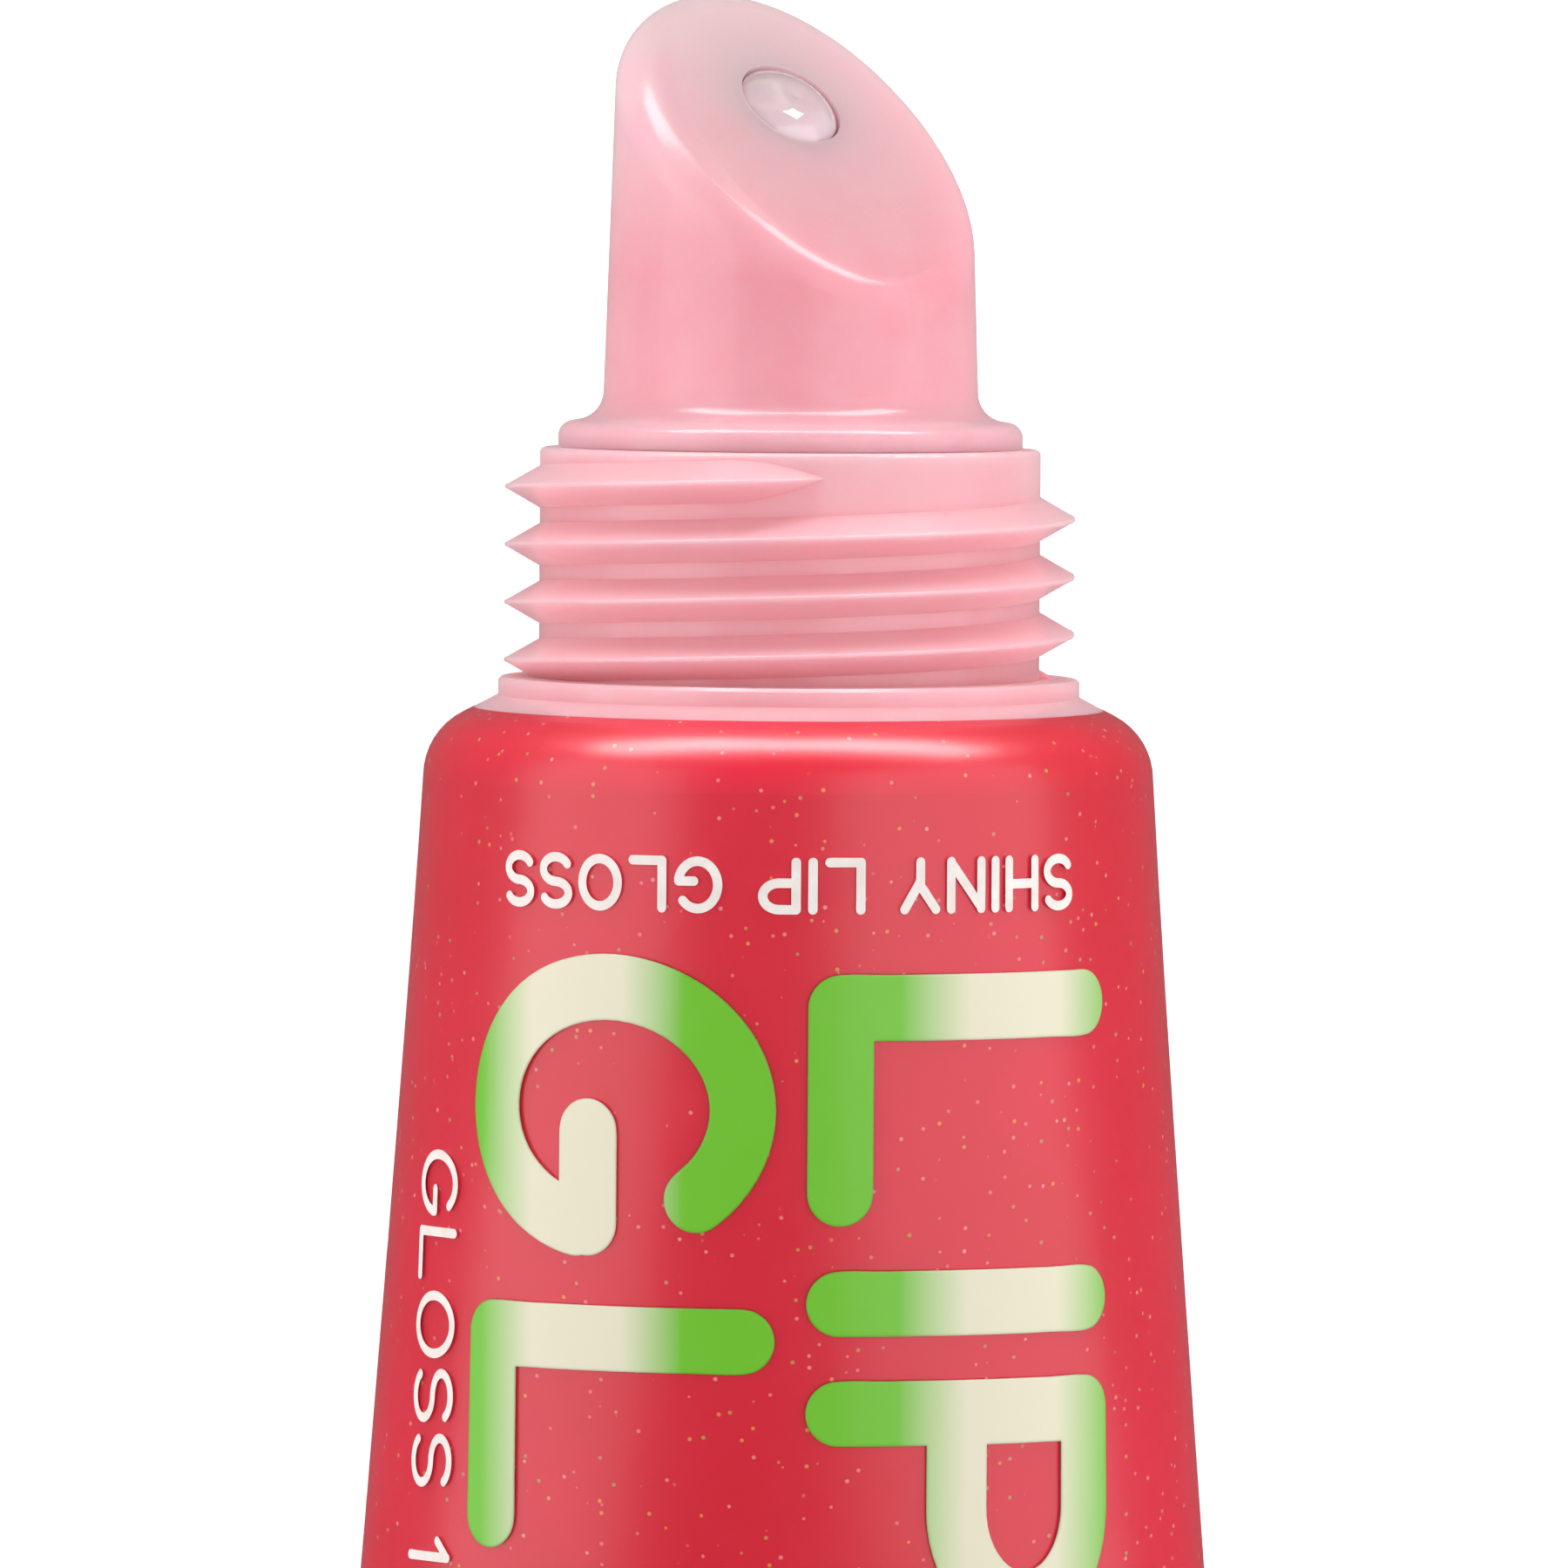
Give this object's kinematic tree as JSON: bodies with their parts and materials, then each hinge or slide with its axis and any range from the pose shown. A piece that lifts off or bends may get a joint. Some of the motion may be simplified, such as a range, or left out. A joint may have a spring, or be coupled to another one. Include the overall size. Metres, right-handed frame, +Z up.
{
  "type": "lip gloss tube",
  "caption": "Squeeze tube of lip gloss with a threaded neck, a slanted applicator tip and a glossy screw cap, lying on its back with the cap off.",
  "frame": {"origin": "on the surface that the tube lies on, under the middle of the whole length from the welded tail to the cap's closed end", "axes": "+Y along the tube's neck towards the cap, +Z up through the printed front, +X to the right of the printed front when the neck points away"},
  "size_m": [0.0298, 0.127, 0.019],
  "materials": {
    "sleeve_film": "satin",
    "frosted_pink": "frosted",
    "tip_pink": "frosted",
    "gloss_gel": "wet",
    "print_green": "satin",
    "print_white": "satin",
    "cap_green": "glossy",
    "insert_white": "satin",
    "seal_white": "matte"
  },
  "bodies": {
    "tube": {"sleeve": "sleeve_film", "tube_head": "frosted_pink", "applicator_tip": "tip_pink", "gloss": "gloss_gel", "large_print": "print_green", "small_print": "print_white"},
    "cap_seal": {"cap_seal": "seal_white"},
    "cap": {"cap_insert": "insert_white", "cap_shell": "cap_green"}
  },
  "joints": [
    {"name": "cap_travel", "type": "slide", "parent": "tube", "child": "cap_seal", "axis": [0, 1, 0], "range_m": [-0.03, 0]},
    {"name": "cap_turn", "type": "hinge", "parent": "cap_seal", "child": "cap", "pos_m": [0, 0.04748, 0.0095], "axis": [0, 1, 0], "range_deg": [-7200, 0]}
  ],
  "couplings": [
    {"joint": "cap_travel", "follows": "cap_turn", "m_per_rad": 0.00023873}
  ]
}
